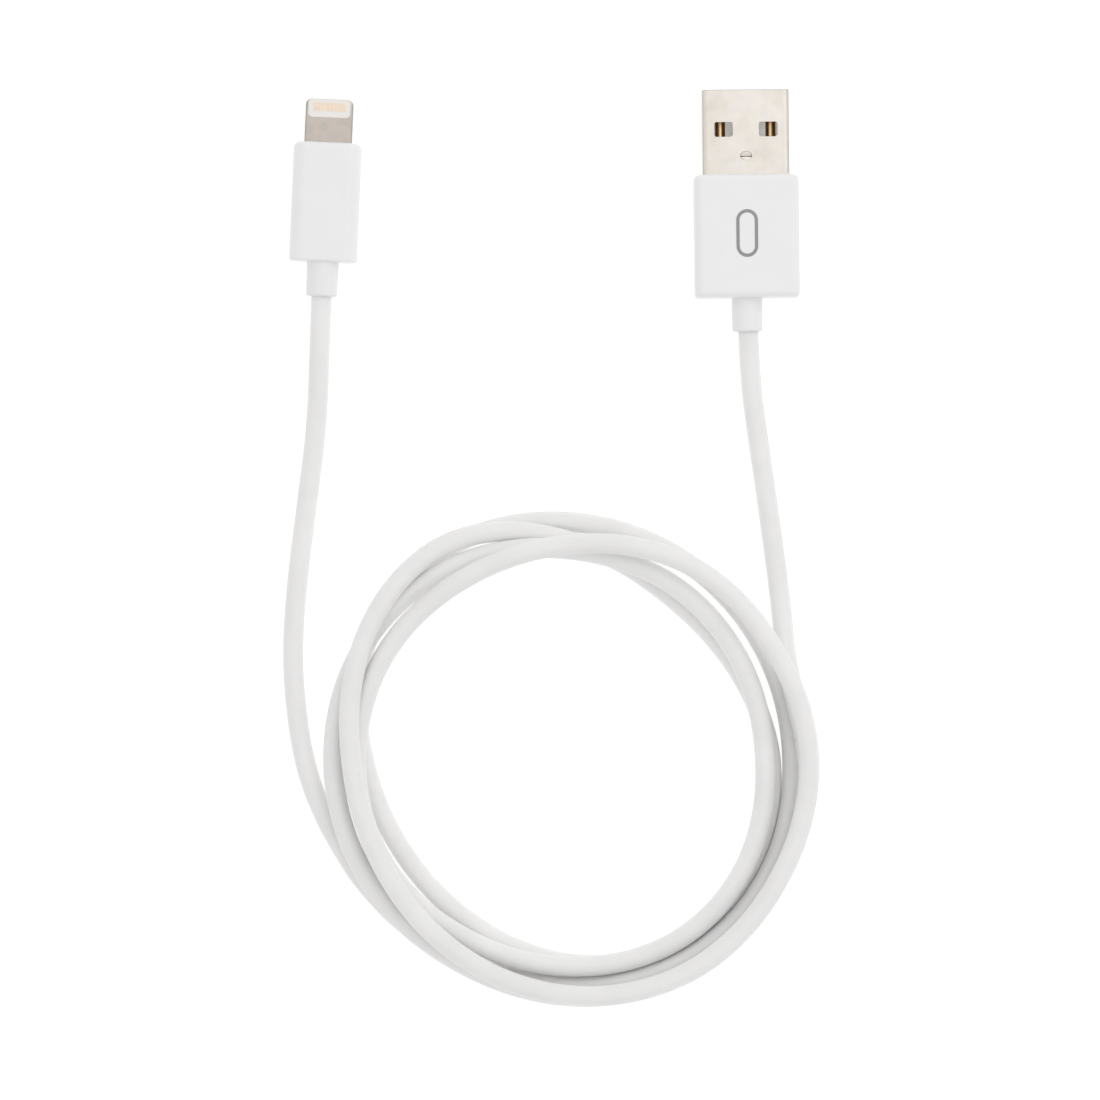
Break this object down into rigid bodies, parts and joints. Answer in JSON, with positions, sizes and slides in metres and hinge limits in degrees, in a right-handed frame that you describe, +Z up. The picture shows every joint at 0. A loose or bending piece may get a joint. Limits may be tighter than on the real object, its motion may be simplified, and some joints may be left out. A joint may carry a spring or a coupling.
{
  "type": "charging cable",
  "caption": "Coiled round white cable with a flat rectangular power plug at one end and a thin reversible device plug at the other.",
  "frame": {"origin": "on the surface that the cable lies on, below the middle of the box round the two plugs", "axes": "+X from the device plug to the power plug, +Y the way both plugs point, +Z up from the surface"},
  "size_m": [0.0747, 0.1272, 0.0098],
  "materials": {
    "cable_jacket": "soft satin white thermoplastic elastomer",
    "housing_white": "smooth satin-gloss moulded white",
    "relief_white": "soft matt white",
    "shell_nickel": "bright nickel plate over drawn sheet",
    "tip_metal": "satin nickel",
    "contact_gold": "gold plate",
    "tongue_plastic": "light grey-white glass-filled plastic",
    "insulator_white": "white moulded plastic",
    "mark_grey": "pad-printed grey ink",
    "can_steel": "stamped tinned steel",
    "mould_plastic": "milky polyethylene",
    "braid_copper": "tinned copper braid",
    "solder": "bright solder",
    "board_green": "solder mask",
    "chip_black": "moulded epoxy",
    "capacitor_tan": "ceramic",
    "wire_red": "insulation",
    "wire_white": "insulation",
    "wire_green": "insulation",
    "wire_black": "insulation"
  },
  "bodies": {
    "root": {"power_shell": "shell_nickel", "power_tongue": "tongue_plastic", "power_contact_supply": "contact_gold", "power_contact_data_minus": "contact_gold", "power_contact_data_plus": "contact_gold", "power_contact_ground": "contact_gold", "power_solder_joints": "solder", "power_wire_red": "wire_red", "power_wire_white": "wire_white", "power_wire_green": "wire_green", "power_wire_black": "wire_black", "power_braid_end": "braid_copper", "power_can_upper": "can_steel", "power_can_lower": "can_steel", "power_inner_mould": "mould_plastic", "power_housing": "housing_white", "power_strain_relief": "relief_white", "power_mark": "mark_grey", "device_tip_frame": "tip_metal", "device_insulator": "insulator_white", "device_contacts_front": "contact_gold", "device_contacts_back": "contact_gold", "device_board": "board_green", "device_control_chip": "chip_black", "device_switch_chip": "chip_black", "device_capacitors": "capacitor_tan", "device_solder_joints": "solder", "device_wire_red": "wire_red", "device_wire_white": "wire_white", "device_wire_green": "wire_green", "device_wire_black": "wire_black", "device_braid_end": "braid_copper", "device_can_upper": "can_steel", "device_can_lower": "can_steel", "device_inner_mould": "mould_plastic", "device_housing": "housing_white", "device_strain_relief": "relief_white", "power_lead": "cable_jacket", "cable_coil": "cable_jacket", "device_lead": "cable_jacket"}
  },
  "joints": []
}
